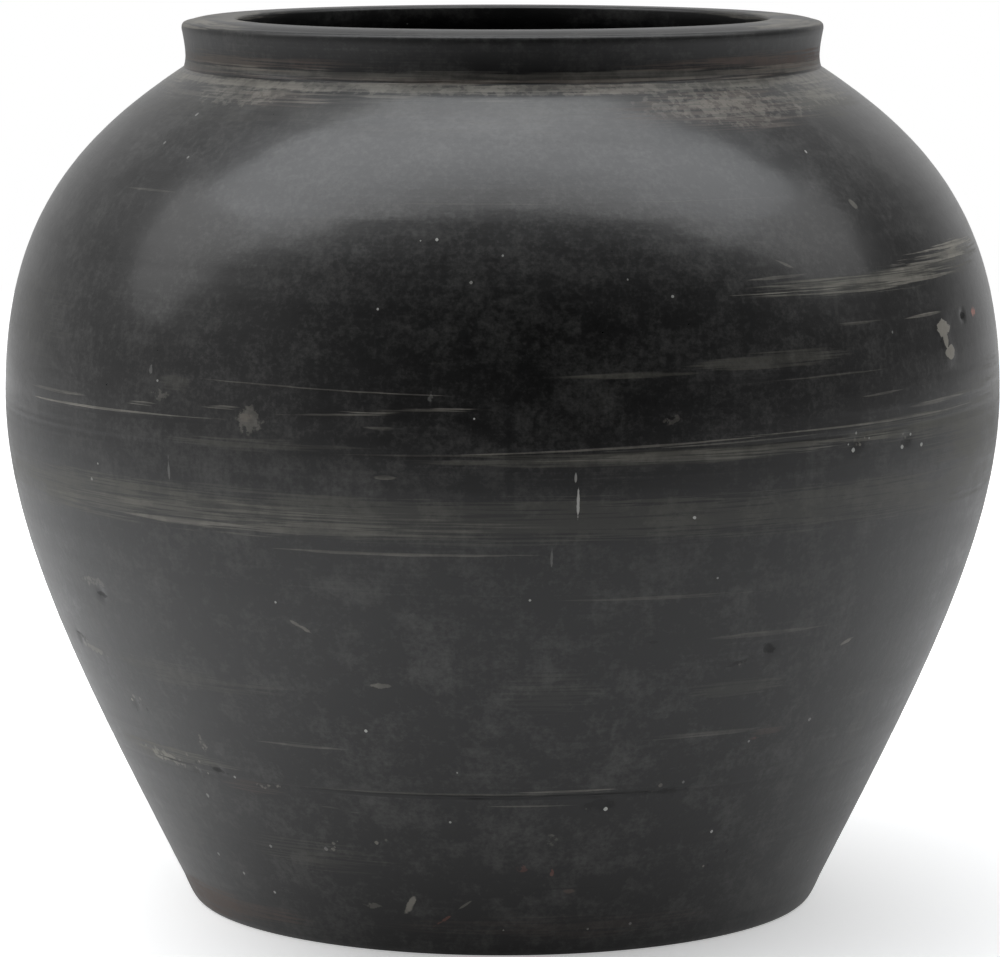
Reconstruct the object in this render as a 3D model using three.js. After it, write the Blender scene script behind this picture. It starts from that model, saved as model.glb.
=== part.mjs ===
// A large black clay jar, made the way a big jar is built: a floor slab, three wall sections and a rim
// collar are formed separately, then luted together with slip along ridge-and-groove edges before the jar is
// polished and fired. Millimetres, +Z up, origin at the centre of the underside. Every piece is turned about
// +Z.

import * as THREE from "three";

// Driving dimensions of the whole jar.
const HEIGHT = 355; // underside to the crest of the rim
const BELLY_RADIUS = 200;
const BELLY_HEIGHT = 205; // where the jar is widest
const FOOT_RADIUS = 127;
const FOOT_ROUND = 3; // rounding of the edge that the jar stands on
const NECK_RADIUS = 127.5;
const NECK_HEIGHT = 335.5; // crease between shoulder and collar
const WALL = 12;

// How the wall curves. A lean is millimetres outward for each millimetre of height, and a pull is how much
// height the curve takes to leave the direction that it has at that end.
const FOOT_LEAN = 0.49;
const FOOT_PULL = 82;
const BELLY_PULL_DOWN = 57;
const BELLY_PULL_UP = 64;
const NECK_LEAN = 1.57;
const NECK_PULL = 31;

// Heights of the two lower seams. The other two are at the belly and at the neck.
const SLAB_TOP = 12.5;
const FOOT_SEAM = 69;

// Luted edges: a ridge on the lower piece sits in a groove under the upper one, with slip between them.
const SLIP_GAP = 0.3;
const RIDGE_HEIGHT = 3.5;
const RIDGE_SHARE = 0.34; // width of the ridge at its root, as a share of the wall
const RIDGE_TAPER = 0.6; // width at its tip, as a share of its root

// Rim collar.
const RIM_RADIUS = 128.2;
const WAIST_RADIUS = 126.6; // hollow between the crease and the lip
const LIP_LOW = 347.5; // lower and upper end of the upright face of the lip
const LIP_HIGH = 350.3;
const TOP_EDGE_RADIUS = 125.6; // where the sloping top turns down into the lip
const TOP_EDGE_HEIGHT = 352.6;
const LAND_OUTER = 117; // flat land along the crest, where a cover rests
const LAND_INNER = 113;
const BORE_RADIUS = 106.5; // narrowest part of the mouth
const BORE_HEIGHT = 350;
const THROAT_RADIUS = 114; // the collar is undercut below the rolled rim
const THROAT_TOP = 342.5;

const FLOOR_RADIUS = 104; // inside the jar, where the fillet meets the flat floor
const FILLET_HEIGHT = 24;
const THROAT_START = 0.88; // share of the upper curve where the inside starts to thicken into the throat

// Fineness of the facets.
const SEGMENTS = 60; // around the jar
const WALL_STEP = 18; // height that one facet of wall spans at most
const CORNER_STEPS = 3; // facets along a rounded corner
const EDGE_STEPS = 2; // facets along a small rounded edge
const CURVE_TOLERANCE = 1e-7;

const point = (radius, height) => new THREE.Vector2(radius, height);

const lowerWall = new THREE.CubicBezierCurve(
  point(FOOT_RADIUS, FOOT_ROUND),
  point(FOOT_RADIUS + FOOT_LEAN * FOOT_PULL, FOOT_ROUND + FOOT_PULL),
  point(BELLY_RADIUS, BELLY_HEIGHT - BELLY_PULL_DOWN),
  point(BELLY_RADIUS, BELLY_HEIGHT),
);

const upperWall = new THREE.CubicBezierCurve(
  point(BELLY_RADIUS, BELLY_HEIGHT),
  point(BELLY_RADIUS, BELLY_HEIGHT + BELLY_PULL_UP),
  point(NECK_RADIUS + NECK_LEAN * NECK_PULL, NECK_HEIGHT - NECK_PULL),
  point(NECK_RADIUS, NECK_HEIGHT),
);

// The share of the way along a rising curve at which it reaches a height, found by halving.
function shareAtHeight(curve, height) {
  let low = 0;
  let high = 1;
  while (high - low > CURVE_TOLERANCE) {
    const middle = (low + high) / 2;
    if (curve.getPoint(middle).y < height) low = middle;
    else high = middle;
  }
  return low;
}

// A point on the wall: on its outer face at depth 0, and square in from there at a greater depth.
function inWall(curve, share, depth) {
  const along = curve.getTangent(share);
  return curve.getPoint(share).add(point(-along.y, along.x).multiplyScalar(depth));
}

// The face of the wall between two shares of a curve, without its two end points.
function faceOfWall(curve, from, to, depth) {
  const rise = Math.abs(curve.getPoint(to).y - curve.getPoint(from).y);
  const steps = Math.ceil(rise / WALL_STEP);
  return Array.from({ length: steps - 1 }, (_, i) =>
    inWall(curve, THREE.MathUtils.lerp(from, to, (i + 1) / steps), depth),
  );
}

// Points across a luted edge from its outer to its inner corner. raised is how far the middle stands up, and
// room widens it, so that a groove clears the ridge inside it.
function lutedEdge(outer, inner, raised, room) {
  const across = inner.clone().sub(outer);
  const width = across.length();
  const up = point(across.y, -across.x).normalize().multiplyScalar(raised);
  const root = (RIDGE_SHARE * width) / 2 + room;
  const tip = (RIDGE_TAPER * RIDGE_SHARE * width) / 2 + room;
  const at = (distance, lift) =>
    outer.clone().addScaledVector(across, 0.5 + distance / width).addScaledVector(up, lift);
  return [outer, at(-root, 0), at(-tip, 1), at(tip, 1), at(root, 0), inner];
}

// The top of a lower piece: a ridge, traced from the outer face to the inner one.
const ridgeEdge = (outer, inner) => lutedEdge(outer, inner, RIDGE_HEIGHT, 0);

// The underside of an upper piece: the matching groove, a slip gap higher, traced from the inside outwards.
function grooveEdge(outer, inner) {
  const across = inner.clone().sub(outer);
  const lift = point(across.y, -across.x).normalize().multiplyScalar(SLIP_GAP);
  return lutedEdge(outer.clone().add(lift), inner.clone().add(lift), RIDGE_HEIGHT, SLIP_GAP).reverse();
}

// Turns an outline of radius and height about +Z. It closes on itself, or starts and ends on the axis.
function turned(name, outline, material) {
  const geometry = new THREE.LatheGeometry(outline, SEGMENTS);
  geometry.rotateX(Math.PI / 2);
  const mesh = new THREE.Mesh(geometry, material);
  mesh.name = name;
  return mesh;
}

const closed = (outline) => [...outline, outline[0]];

const smokedClay = new THREE.MeshStandardMaterial({ color: 0x2b2b2a, roughness: 0.6, metalness: 0 });
const burnishedClay = new THREE.MeshStandardMaterial({ color: 0x1c1c1d, roughness: 0.35, metalness: 0 });
const rimClay = new THREE.MeshStandardMaterial({ color: 0x302b28, roughness: 0.45, metalness: 0 });

// The slab that the jar stands on. Its edge follows the lean of the wall above.
function floorSlab() {
  const slabEdge = lowerWall.getPoint(shareAtHeight(lowerWall, SLAB_TOP));
  const underEdge = new THREE.QuadraticBezierCurve(
    point(FOOT_RADIUS - FOOT_ROUND, 0),
    point(FOOT_RADIUS - FOOT_LEAN * FOOT_ROUND, 0),
    point(FOOT_RADIUS, FOOT_ROUND),
  );
  const outline = [point(0, 0), ...underEdge.getPoints(CORNER_STEPS), slabEdge, point(0, SLAB_TOP)];
  return turned("floor_slab", outline, smokedClay);
}

// The first ring of wall, scored and butted on the slab, with a fillet of clay inside the corner.
function footWall() {
  const bottom = shareAtHeight(lowerWall, SLAB_TOP + SLIP_GAP);
  const top = shareAtHeight(lowerWall, FOOT_SEAM);
  const filletTop = inWall(lowerWall, shareAtHeight(lowerWall, SLAB_TOP + FILLET_HEIGHT), WALL);
  const fillet = new THREE.QuadraticBezierCurve(
    filletTop,
    point(filletTop.x - FOOT_LEAN * FILLET_HEIGHT, SLAB_TOP + SLIP_GAP),
    point(FLOOR_RADIUS, SLAB_TOP + SLIP_GAP),
  );
  const outline = [
    inWall(lowerWall, bottom, 0),
    ...faceOfWall(lowerWall, bottom, top, 0),
    ...ridgeEdge(inWall(lowerWall, top, 0), inWall(lowerWall, top, WALL)),
    ...fillet.getPoints(CORNER_STEPS),
  ];
  return turned("foot_wall", closed(outline), smokedClay);
}

// The second ring, from the low seam up to the widest part.
function bellyWall() {
  const bottom = shareAtHeight(lowerWall, FOOT_SEAM);
  const outline = [
    ...grooveEdge(inWall(lowerWall, bottom, 0), inWall(lowerWall, bottom, WALL)),
    ...faceOfWall(lowerWall, bottom, 1, 0),
    ...ridgeEdge(inWall(lowerWall, 1, 0), inWall(lowerWall, 1, WALL)),
    ...faceOfWall(lowerWall, 1, bottom, WALL),
  ];
  return turned("belly_wall", closed(outline), smokedClay);
}

// The third ring closes in over the shoulder to the mouth. Inside, it thickens into the collar's throat.
function shoulderWall() {
  const throatStart = inWall(upperWall, THROAT_START, WALL);
  const intoThroat = new THREE.QuadraticBezierCurve(
    point(THROAT_RADIUS, NECK_HEIGHT),
    point(THROAT_RADIUS, throatStart.y + WALL / 2),
    throatStart,
  );
  const outline = [
    ...grooveEdge(inWall(upperWall, 0, 0), inWall(upperWall, 0, WALL)),
    ...faceOfWall(upperWall, 0, 1, 0),
    ...ridgeEdge(point(NECK_RADIUS, NECK_HEIGHT), point(THROAT_RADIUS, NECK_HEIGHT)),
    ...intoThroat.getPoints(CORNER_STEPS).slice(1),
    ...faceOfWall(upperWall, THROAT_START, 0, WALL),
  ];
  return turned("shoulder_wall", closed(outline), burnishedClay);
}

// The collar: a low hollow neck under a thick rolled rim, which slopes out from a flat land on its crest.
function rimCollar() {
  const hollow = new THREE.SplineCurve([
    point(NECK_RADIUS, NECK_HEIGHT + SLIP_GAP),
    point(WAIST_RADIUS, (NECK_HEIGHT + LIP_LOW) / 2),
    point(RIM_RADIUS, LIP_LOW),
  ]);
  const lip = new THREE.QuadraticBezierCurve(
    point(RIM_RADIUS, LIP_HIGH),
    point(RIM_RADIUS, TOP_EDGE_HEIGHT),
    point(TOP_EDGE_RADIUS, TOP_EDGE_HEIGHT),
  );
  const top = new THREE.QuadraticBezierCurve(
    point(TOP_EDGE_RADIUS, TOP_EDGE_HEIGHT),
    point((TOP_EDGE_RADIUS + LAND_OUTER) / 2, HEIGHT),
    point(LAND_OUTER, HEIGHT),
  );
  const roll = new THREE.QuadraticBezierCurve(
    point(LAND_INNER, HEIGHT),
    point(BORE_RADIUS, HEIGHT),
    point(BORE_RADIUS, BORE_HEIGHT),
  );
  const undercut = new THREE.QuadraticBezierCurve(
    point(BORE_RADIUS, BORE_HEIGHT),
    point(BORE_RADIUS, THROAT_TOP),
    point(THROAT_RADIUS, THROAT_TOP),
  );
  const outline = [
    ...grooveEdge(point(NECK_RADIUS, NECK_HEIGHT), point(THROAT_RADIUS, NECK_HEIGHT)).slice(0, -1),
    ...hollow.getPoints(CORNER_STEPS),
    ...lip.getPoints(EDGE_STEPS),
    ...top.getPoints(EDGE_STEPS).slice(1),
    ...roll.getPoints(CORNER_STEPS),
    ...undercut.getPoints(EDGE_STEPS).slice(1),
  ];
  return turned("rim_collar", closed(outline), rimClay);
}

const jar = new THREE.Group();
jar.add(floorSlab(), footWall(), bellyWall(), shoulderWall(), rimCollar());

export default jar;
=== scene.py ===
import math

import bpy
import numpy as np
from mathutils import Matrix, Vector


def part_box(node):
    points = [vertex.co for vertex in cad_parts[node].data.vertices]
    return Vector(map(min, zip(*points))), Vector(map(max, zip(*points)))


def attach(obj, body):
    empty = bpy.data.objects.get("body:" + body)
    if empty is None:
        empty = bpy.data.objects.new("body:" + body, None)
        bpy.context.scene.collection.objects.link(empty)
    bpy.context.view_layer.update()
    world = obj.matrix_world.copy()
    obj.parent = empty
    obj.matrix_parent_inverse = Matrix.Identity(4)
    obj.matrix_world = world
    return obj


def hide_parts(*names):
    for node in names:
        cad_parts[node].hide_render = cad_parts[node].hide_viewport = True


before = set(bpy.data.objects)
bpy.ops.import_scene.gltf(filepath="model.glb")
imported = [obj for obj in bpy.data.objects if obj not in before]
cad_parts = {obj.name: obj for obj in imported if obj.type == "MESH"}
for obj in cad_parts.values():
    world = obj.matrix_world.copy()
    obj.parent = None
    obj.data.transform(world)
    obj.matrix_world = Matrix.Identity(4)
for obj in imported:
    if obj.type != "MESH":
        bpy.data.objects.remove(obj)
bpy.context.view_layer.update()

bl_info = {
    "name": "Black Clay Jar",
    "version": (1, 0, 0),
    "blender": (4, 5, 0),
    "location": "3D View > Sidebar > Clay Jar",
    "description": "Builds a large smoked and burnished clay jar, and a plain studio around it",
    "category": "Add Mesh",
}

MM = 0.001
SLIP = 0.3 * MM  # room for slip between two pieces of the frame
HAIRLINE = 0.02 * MM  # what is left of it where the clay is smeared over the joint
NECK_CALM = 8 * MM  # height below the neck over which the relief dies out
SHOULDER_LEVEL = 0.3  # height in the jar that the panels are laid out over
THROAT_FOOT = 0.318  # height at which the inside begins to close in to the throat
FLOOR_DROP = 0.2 * MM  # how far the floor lies under the jar
HUB = 4 * MM  # radius of the last circle of points about the axis
SHARP = math.radians(38)  # edges that turn by more than this stay sharp

# Sizes that come from the frame.
SLAB_EDGE, SLAB_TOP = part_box("floor_slab")[1].xz
FOOT_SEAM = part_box("belly_wall")[0].z
BELLY_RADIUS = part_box("belly_wall")[1].x
BELLY_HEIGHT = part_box("shoulder_wall")[0].z - SLIP
NECK_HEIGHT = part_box("rim_collar")[0].z - SLIP
RIM_RADIUS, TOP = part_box("rim_collar")[1].xz


# ---------------------------------------------------------------------------------------------- settings


def length(name, description, millimetres):
    """A length property that is given in millimetres and kept in metres."""
    size = millimetres * MM
    return bpy.props.FloatProperty(
        name=name, description=description, default=size, precision=4, subtype="DISTANCE", unit="LENGTH"
    )


def share(name, description, value):
    """A share, or an amount of much the same size."""
    return bpy.props.FloatProperty(
        name=name, description=description, default=value, min=0.0, soft_max=1.0, subtype="FACTOR"
    )


def colour(name, description, value):
    """A linear colour property."""
    return bpy.props.FloatVectorProperty(
        name=name, description=description, default=value, size=3, min=0.0, max=1.0, subtype="COLOR"
    )


class JarShape(bpy.types.PropertyGroup):
    """How the wall curves, and how uneven the hand leaves it."""

    foot_round: length("Foot rounding", "Rounding of the edge that the jar stands on", 3)
    foot_lean: bpy.props.FloatProperty(
        name="Foot lean", description="Outward run of the wall for each metre up, at the foot", default=0.49
    )
    foot_pull: length("Foot pull", "Height over which the wall leaves the lean of the foot", 82)
    belly_pull_down: length("Belly pull down", "Height below the belly that stays upright", 57)
    belly_pull_up: length("Belly pull up", "Height above the belly that stays upright", 64)
    neck_inset: length("Neck inset", "How far the crease at the neck lies inside the lip", 0.7)
    neck_lean: bpy.props.FloatProperty(
        name="Neck lean", description="Inward run of the wall for each metre up, at the neck", default=1.57
    )
    neck_pull: length("Neck pull", "Height over which the shoulder takes up the lean of the neck", 31)
    wall: length("Wall", "Thickness of the wall", 12)
    ridge: length("Ridge", "Height of the ridge in a luted edge", 3.5)
    floor_radius: length("Floor radius", "Radius of the flat floor inside", 104)
    fillet: length("Fillet", "Height of the fillet inside the foot", 24)
    throat: length("Throat", "Radius of the undercut throat", 114)
    throat_top: length("Throat top", "Height of the top of the undercut", 342.5)
    mouth: length("Mouth", "Radius of the mouth", 106.5)
    ring_depth: length("Ring depth", "Depth of the rings that the wheel leaves outside", 0.02)
    inner_ring_depth: length("Inner ring depth", "Depth of the finger rings inside", 0.35)
    unevenness: length("Unevenness", "How far the wall wanders from a true round", 0.3)
    around: bpy.props.IntProperty(name="Around", description="Points round the jar", default=720, min=90)


class JarFinish(bpy.types.PropertyGroup):
    """Colours and gloss of the clay."""

    clay: colour("Smoked clay", "The smoke-blackened clay", (0.0050, 0.0050, 0.0050))
    worn: colour("Worn clay", "Clay where the dark skin is wiped thin", (0.075, 0.074, 0.070))
    wiped: colour("Wiped clay", "Streaks wiped thin, tinged with pale slip", (0.101, 0.098, 0.081))
    dust: colour("Dust", "Pale wiped slip and dust", (0.26, 0.245, 0.21))
    brown: colour("Brown", "Clay that the smoke didn't reach", (0.080, 0.057, 0.047))
    white: colour("White", "Lime specks and splashes", (0.55, 0.55, 0.52))
    red: colour("Red", "Iron in the clay", (0.40, 0.13, 0.09))
    shadow: colour("Shadow", "The bottom of cracks and pits", (0.0015, 0.0015, 0.0015))
    veil: share("Veil", "How much worn clay shows through the dark skin", 0.055)
    mottle: share("Mottle", "How much the dark skin comes and goes", 1.85)
    burnished: share("Burnished roughness", "Roughness of the polished shoulder", 0.35)
    matte: share("Matte roughness", "Roughness of the wiped lower wall", 0.45)
    polish: share("Polish", "Weight of the sharp polish on the shoulder", 0.45)


class JarStudio(bpy.types.PropertyGroup):
    """The camera and the plain studio."""

    camera_distance: length("Camera distance", "How far the camera stands in front of the jar's axis", 2053)
    camera_height: length("Camera height", "Height of the camera above the floor", 445.5)
    camera_side: length("Camera side", "How far the camera stands to the right of the jar's axis", -1)
    camera_pitch: bpy.props.FloatProperty(
        name="Camera pitch",
        description="How far the camera looks down",
        default=math.radians(7.68),
        subtype="ANGLE",
        unit="ROTATION",
    )
    lens: bpy.props.FloatProperty(
        name="Lens", description="Focal length", default=184.2, subtype="DISTANCE_CAMERA", unit="CAMERA"
    )
    panel_radiance: bpy.props.FloatProperty(
        name="Panel radiance", description="Brightness of the soft panels overhead", default=2.8, min=0.0
    )
    panel_height: length("Panel height", "Height of the soft panels above the floor", 1800)
    floor_side: length("Floor side", "How far the pale floor runs to each side", 3000)
    floor_front: length("Floor front", "How far the pale floor runs towards the camera", 750)
    floor_back: length("Floor back", "How far the pale floor runs behind the jar", 2500)
    floor_glow: share("Floor glow", "How much the floor beside the jar glows", 0.22)


# ------------------------------------------------------------------------------------------------- shape


def bezier(points, count=800):
    """Points along a cubic Bezier curve: each control point weighted by its Bernstein polynomial."""
    t = np.linspace(0, 1, count)[:, None]
    p = np.array(points)
    return (1 - t) ** 3 * p[0] + 3 * (1 - t) ** 2 * t * p[1] + 3 * (1 - t) * t**2 * p[2] + t**3 * p[3]


def curve(start, pull, end, count):
    """Points along a quadratic Bezier curve from start to end, pulled towards a third point."""
    t = np.linspace(0, 1, count)[:, None]
    return (1 - t) ** 2 * np.array(start) + 2 * (1 - t) * t * np.array(pull) + t**2 * np.array(end)


class Wall:
    """The smooth outer face of the jar's wall as a function of height: two cubic Bezier curves, from the
    foot's lean to upright at the belly, and from there to the neck's lean."""

    def __init__(self, shape):
        foot = SLAB_EDGE - shape.foot_lean * (SLAB_TOP - shape.foot_round)
        neck = RIM_RADIUS - shape.neck_inset
        self.foot, self.neck = foot, neck
        lower = bezier([
            (foot, shape.foot_round),
            (foot + shape.foot_lean * shape.foot_pull, shape.foot_round + shape.foot_pull),
            (BELLY_RADIUS, BELLY_HEIGHT - shape.belly_pull_down),
            (BELLY_RADIUS, BELLY_HEIGHT),
        ])
        upper = bezier([
            (BELLY_RADIUS, BELLY_HEIGHT),
            (BELLY_RADIUS, BELLY_HEIGHT + shape.belly_pull_up),
            (neck + shape.neck_lean * shape.neck_pull, NECK_HEIGHT - shape.neck_pull),
            (neck, NECK_HEIGHT),
        ])
        line = np.vstack([lower, upper[1:]])
        along = np.gradient(line, axis=0)
        along /= np.linalg.norm(along, axis=1)[:, None]
        self.line, self.out = line, np.stack([along[:, 1], -along[:, 0]], axis=1)

    def face(self, heights, depth=0.0):
        """Points on the outer face at these heights, moved square into the wall by depth."""
        radius, out_r, out_z = (
            np.interp(heights, self.line[:, 1], column)
            for column in (self.line[:, 0], self.out[:, 0], self.out[:, 1])
        )
        return np.stack([radius - depth * out_r, heights - depth * out_z], axis=1)


def rows(low, high, count, seams=()):
    """Heights from low to high that crowd near each seam: even steps along the running sum of a density."""
    even = np.linspace(low, high, 2000)
    density = np.ones_like(even)
    for seam in seams:
        density += 3.5 * np.exp(-(((even - seam) / (3 * MM)) ** 2))
    total = np.concatenate([[0], np.cumsum(density[:-1])])
    return np.interp(np.linspace(0, total[-1], count), total, even)


RIDGE_ROOT, RIDGE_TIP = 0.17, 0.102  # half widths of the ridge in a luted edge, as shares of the edge


def luted_edge(outer, inner, raised, room):
    """Points across a luted edge, from its outer to its inner corner: flat, with a tapered ridge in the
    middle."""
    across = inner - outer
    width = np.linalg.norm(across)
    up = np.array([across[1], -across[0]]) / width * raised
    root, tip = RIDGE_ROOT * width + room, RIDGE_TIP * width + room
    steps = ((-root, 0), (-tip, 1), (tip, 1), (root, 0))
    return np.array([outer + across * (0.5 + s / width) + up * lift for s, lift in steps])


def ridge(outer, inner, shape):
    """The top of a lower piece."""
    return luted_edge(outer, inner, shape.ridge, 0)


def groove(outer, inner, shape):
    """The underside of an upper piece, from its inner to its outer corner, with room for the ridge."""
    across = inner - outer
    lift = np.array([across[1], -across[0]]) / np.linalg.norm(across) * HAIRLINE
    return luted_edge(outer + lift, inner + lift, shape.ridge, SLIP)[::-1]


# Pits and drips: degrees round from the front, and level, radius and depth or height in millimetres.
PITS = (
    (-68, 115, 2.2, 0.6), (-55.5, 138, 2.2, 0.7), (33.3, 125, 2.6, 0.8), (30.5, 121, 1.3, 0.4),
    (65, 243.5, 1.5, 1.2), (41.5, 203, 2.6, 0.45), (50, 201.5, 2.4, 0.45), (14.5, 64, 2.4, 0.6),
    (11, 63, 1.6, 0.4), (23, 69, 1.6, 0.4), (-43, 71, 1.8, 0.6), (-48, 69, 1.6, 0.4), (-57, 93, 2.2, 0.4),
    (-80, 9.5, 3.0, 0.8), (-84, 13, 2.4, 0.5),
)
DRIPS = (
    (59, 240.5, 4.6, 0.34), (59.4, 234.5, 2.2, 0.26), (60.1, 231.0, 3.4, 0.34), (-28, 214.5, 6.5, 0.04),
)
# Rings that the wheel leaves: pitch in millimetres, weight and phase.
RINGS = ((3.7, 0.35, 1.1), (6.1, 0.5, 0.0), (14.3, 0.8, 0.4))
FINGER_PITCH = 9 * MM  # climb of the finger rings in each turn
SEAM_DEPTH, SEAM_LIP = 0.75 * MM, 0.16 * MM  # the groove at the foot seam, and the lip over it
FOOT_SWELL, WAIST_LINE = 0.20 * MM, 0.05 * MM  # the swell over the jar's edge, and the line at the belly
ROUND_RADIUS = 0.18  # mean radius, which turns an angle into a distance round the wall
SWELL_HEIGHT = 0.355  # height over which the slow swells are counted


def wrap(angle):
    """An angle in radians brought between minus and plus half a turn."""
    return (angle + np.pi) % (2 * np.pi) - np.pi


def mound(angle, height, at_angle, at_height, radius):
    """A round bell on the wall: e to the minus square of the distance over the radius."""
    round_about = wrap(angle - math.radians(at_angle)) * ROUND_RADIUS
    return np.exp(-(round_about**2 + (height - at_height * MM) ** 2) / (radius * MM) ** 2)


def ring_at(height, seam, half_width):
    """A bell across a height, the same all round."""
    return np.exp(-(((height - seam) / half_width) ** 2))


def unevenness(angle, height):
    """Slow swells round and up the jar: a sum of sines of seeded phase, from -1 to 0."""
    draws = np.random.default_rng(11)
    total = np.zeros(np.broadcast(angle, height).shape)
    for turns in (2, 3, 4, 5, 7, 9):
        for waves in (3, 7, 12):
            phase, start = draws.uniform(0, 2 * np.pi, 2)
            climb = np.sin(waves * height / SWELL_HEIGHT + phase)
            total += np.sin(turns * angle + start + climb) / (turns + waves)
    return total / 2.2 - 0.5


def wheel_rings(angle, height):
    """Rings from the wheel: three sines up the wall that drift a little round it."""
    at = height + 0.5 * MM * np.sin(angle + 1.3) + 0.2 * MM * np.sin(3 * angle)
    return sum(
        weight * np.sin(2 * np.pi * at / (pitch * MM) + phase)
        for pitch, weight, phase in RINGS
    )


def outer_relief(angle, height, shape):
    """How far the outer face stands out: the sum of swells, wheel rings, seams, pits and drips, which
    dies out below the neck. The foot seam is strong in front and faint behind, and crumbles in step with
    two sines."""
    depth = shape.unevenness * unevenness(angle, height) + shape.ring_depth * wheel_rings(angle, height)
    strong = 0.12 + 0.88 * np.exp(-((wrap(angle + 0.02) / 0.5) ** 4))
    crumble = 0.75 + 0.25 * np.sin(23 * angle) * np.sin(41 * angle + 1)
    depth -= SEAM_DEPTH * strong * crumble * ring_at(height, FOOT_SEAM - 0.8 * MM, 0.8 * MM)
    depth += SEAM_LIP * strong * ring_at(height, FOOT_SEAM + 1.3 * MM, 1.2 * MM)
    depth += FOOT_SWELL * ring_at(height, 5 * MM, 3.5 * MM)
    depth -= WAIST_LINE * ring_at(height, BELLY_HEIGHT + 2.5 * MM * np.sin(angle - 0.3), 1.0 * MM)
    for at_angle, at_height, radius, deep in PITS:
        depth -= deep * MM * mound(angle, height, at_angle, at_height, radius)
    for at_angle, at_height, radius, high in DRIPS:
        depth += high * MM * np.minimum(1.6 * mound(angle, height, at_angle, at_height, radius), 1)
    return depth * np.clip((NECK_HEIGHT - height) / NECK_CALM, 0, 1)


def inner_relief(angle, height, shape):
    """Finger rings inside: a sine that climbs one pitch in each turn of the wheel."""
    climb = (height + FINGER_PITCH * angle / (2 * np.pi)) / FINGER_PITCH
    return shape.inner_ring_depth * 0.5 * (np.sin(2 * np.pi * climb) - 1)


def turned(name, outline, out, face, shape, closed=True):
    """A body turned about +Z. Each outline point runs round the jar, and is moved along its own outward
    direction by the relief of the face that it lies on: 1 outside, -1 inside, 0 in a joint. An outline
    that isn't closed has a fan of triangles to the axis at each end."""
    angle = np.linspace(0, 2 * np.pi, shape.around, endpoint=False)[None, :]
    height = outline[:, 1][:, None]
    move = np.zeros((len(outline), shape.around))
    move[face > 0] = outer_relief(angle, height[face > 0], shape)
    move[face < 0] = inner_relief(angle, height[face < 0], shape)
    radius = outline[:, 0][:, None] + move * out[:, 0][:, None]
    points = np.stack(
        [radius * np.sin(angle), -radius * np.cos(angle), height + move * out[:, 1][:, None]], axis=2
    )
    count = len(outline)
    grid = np.arange(count * shape.around).reshape(count, shape.around)
    if closed:
        low, high = grid, np.roll(grid, -1, axis=0)
    else:
        low, high = grid[:-1], grid[1:]
    quads = np.stack([low, np.roll(low, -1, axis=1), np.roll(high, -1, axis=1), high], axis=2).reshape(-1, 4)
    points = points.reshape(-1, 3)
    faces = quads.tolist()
    if not closed:
        first, last = grid[0], grid[-1]
        pole = np.full_like(first, len(points))
        points = np.vstack([points, [[0, 0, outline[0, 1]], [0, 0, outline[-1, 1]]]])
        faces += np.stack([np.roll(first, -1), first, pole], axis=1).tolist()
        faces += np.stack([last, np.roll(last, -1), pole + 1], axis=1).tolist()
    mesh = bpy.data.meshes.new(name)
    mesh.from_pydata(points.tolist(), [], faces)
    mesh.validate()
    mesh.shade_smooth()
    mesh.set_sharp_from_angle(angle=SHARP)
    piece = bpy.data.objects.new(name, mesh)
    bpy.context.scene.collection.objects.link(piece)
    return piece


def directions(outline, closed=True):
    """The outward direction at each point of an outline that runs up the outside and down the inside: the
    step from one neighbour to the other, made one long and turned a quarter turn."""
    if closed:
        along = np.roll(outline, -1, axis=0) - np.roll(outline, 1, axis=0)
    else:
        along = np.gradient(outline, axis=0)
    along = along / np.linalg.norm(along, axis=1)[:, None]
    return np.stack([along[:, 1], -along[:, 0]], axis=1)


def finish_piece(piece, node, material):
    """Gives a piece its material and ties it to the frame."""
    piece.data.materials.append(material)
    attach(piece, "root")
    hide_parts(node)


# --------------------------------------------------------------------------------------------- materials


def put(tree, node, inputs):
    """Links each input of a node to a socket, or sets it to a value."""
    for key, value in inputs.items():
        if isinstance(value, bpy.types.NodeSocket):
            tree.links.new(value, node.inputs[key])
        else:
            node.inputs[key].default_value = value
    return node


def add(tree, kind, inputs=None, **settings):
    """A new node with its settings and inputs."""
    node = tree.nodes.new(kind)
    for key, value in settings.items():
        setattr(node, key, value)
    return put(tree, node, inputs or {})


def calc(tree, operation, *values):
    """The result of a Math node."""
    return add(tree, "ShaderNodeMath", dict(enumerate(values)), operation=operation).outputs[0]


def blend(tree, factor, first, second):
    """The result of mixing two colours."""
    first, second = (
        side if isinstance(side, bpy.types.NodeSocket) else (*side, 1) for side in (first, second)
    )
    return add(tree, "ShaderNodeMix", {0: factor, 6: first, 7: second}, data_type="RGBA").outputs[2]


def ramp(tree, value, low, high, to_low=0.0, to_high=1.0):
    """A smooth step of a value from low to high, brought to another range."""
    inputs = {0: value, 1: low, 2: high, 3: to_low, 4: to_high}
    return add(tree, "ShaderNodeMapRange", inputs, interpolation_type="SMOOTHSTEP").outputs[0]


def group(name, inputs, outputs):
    """A new shader node group. inputs are names and defaults, and outputs are names."""
    tree = bpy.data.node_groups.new(name, "ShaderNodeTree")
    for label, default in inputs:
        socket = tree.interface.new_socket(name=label, in_out="INPUT", socket_type="NodeSocketFloat")
        socket.default_value = default
    for label in outputs:
        tree.interface.new_socket(name=label, in_out="OUTPUT", socket_type="NodeSocketFloat")
    return tree, add(tree, "NodeGroupInput"), add(tree, "NodeGroupOutput")


def use(tree, name, inputs=None):
    """A node that uses a group."""
    return add(tree, "ShaderNodeGroup", inputs, node_tree=bpy.data.node_groups[name])


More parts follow.
